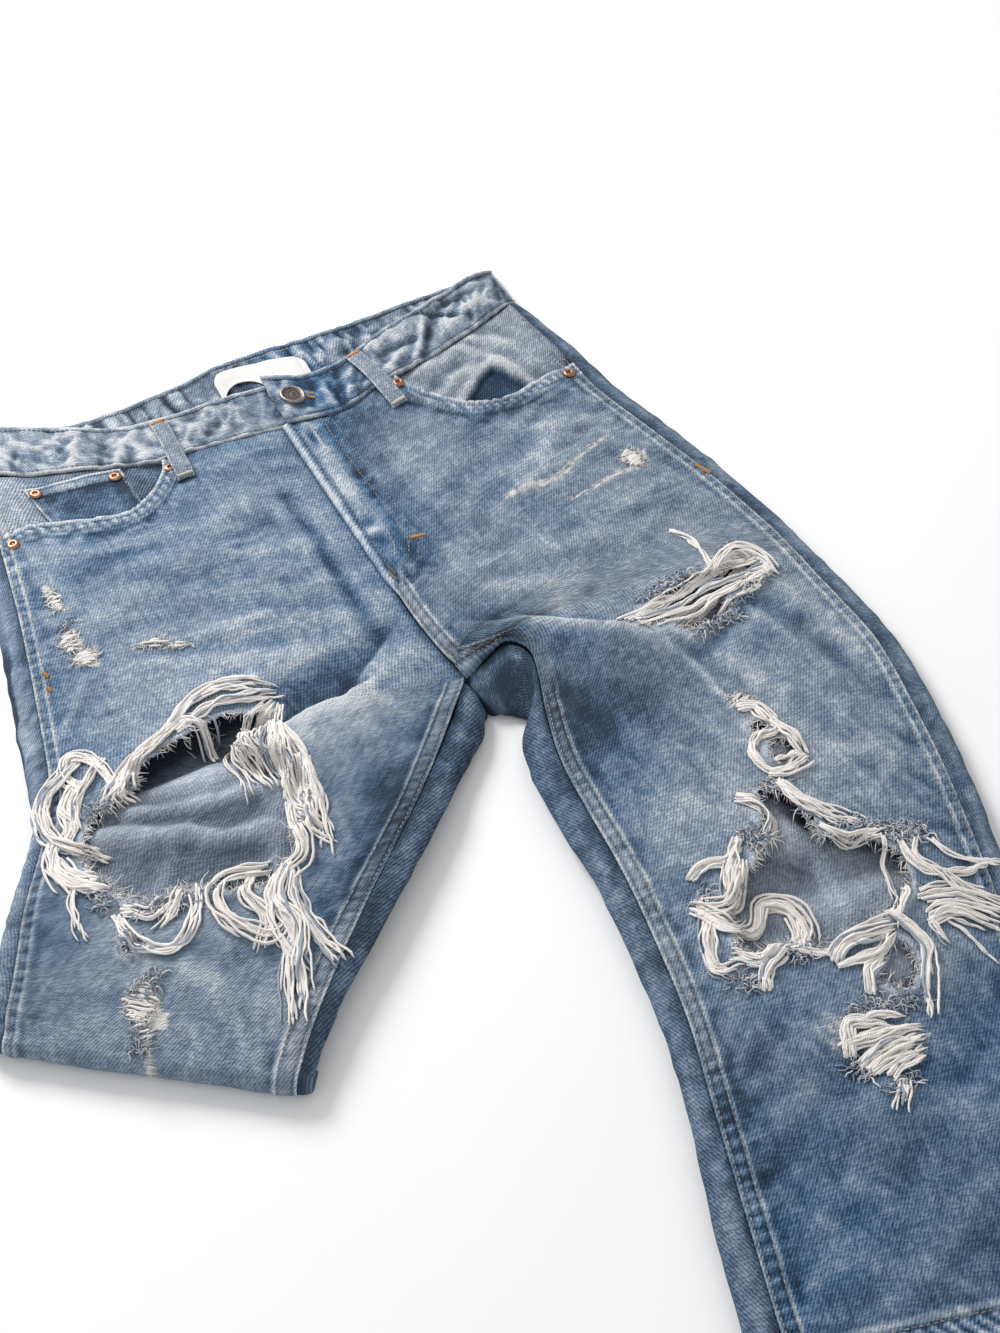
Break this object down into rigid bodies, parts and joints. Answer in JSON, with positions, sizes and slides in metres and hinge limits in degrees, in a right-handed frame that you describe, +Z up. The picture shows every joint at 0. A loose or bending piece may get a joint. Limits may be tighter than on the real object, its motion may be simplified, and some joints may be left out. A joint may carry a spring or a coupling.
{
  "type": "ripped jeans",
  "caption": "Straight denim jeans with worn holes and frayed white threads, laid flat with the right leg folded under.",
  "frame": {"origin": "middle of the underside's bounding box, on the surface the jeans lie on", "axes": "+Z up, the way the fronts face; +Y towards the waist; +X to the wearer's left"},
  "size_m": [0.5937, 0.8601, 0.0295],
  "materials": {
    "denim": "faded blue denim twill",
    "denim_inside": "pale grey-blue inside of denim",
    "label_cloth": "cream woven label",
    "zip_tape": "woven tape with metal teeth",
    "copper": "aged copper rivet",
    "button_metal": "dark aged metal"
  },
  "bodies": {
    "root": {"back_panel_left": "denim", "back_panel_right": "denim", "belt_loop_back": "denim", "belt_loop_front_left": "denim", "belt_loop_front_right": "denim", "button": "button_metal", "coin_pocket": "denim", "fly_shield": "denim", "folded_leg_right": "denim_inside", "front_panel_left": "denim", "front_panel_right": "denim", "label": "label_cloth", "pocket_facing_left": "denim", "pocket_facing_right": "denim", "rivet_coin_left": "copper", "rivet_coin_right": "copper", "rivet_pocket_left_side": "copper", "rivet_pocket_left_top": "copper", "rivet_pocket_right_side": "copper", "rivet_pocket_right_top": "copper", "waistband": "denim", "zip": "zip_tape"}
  },
  "joints": []
}
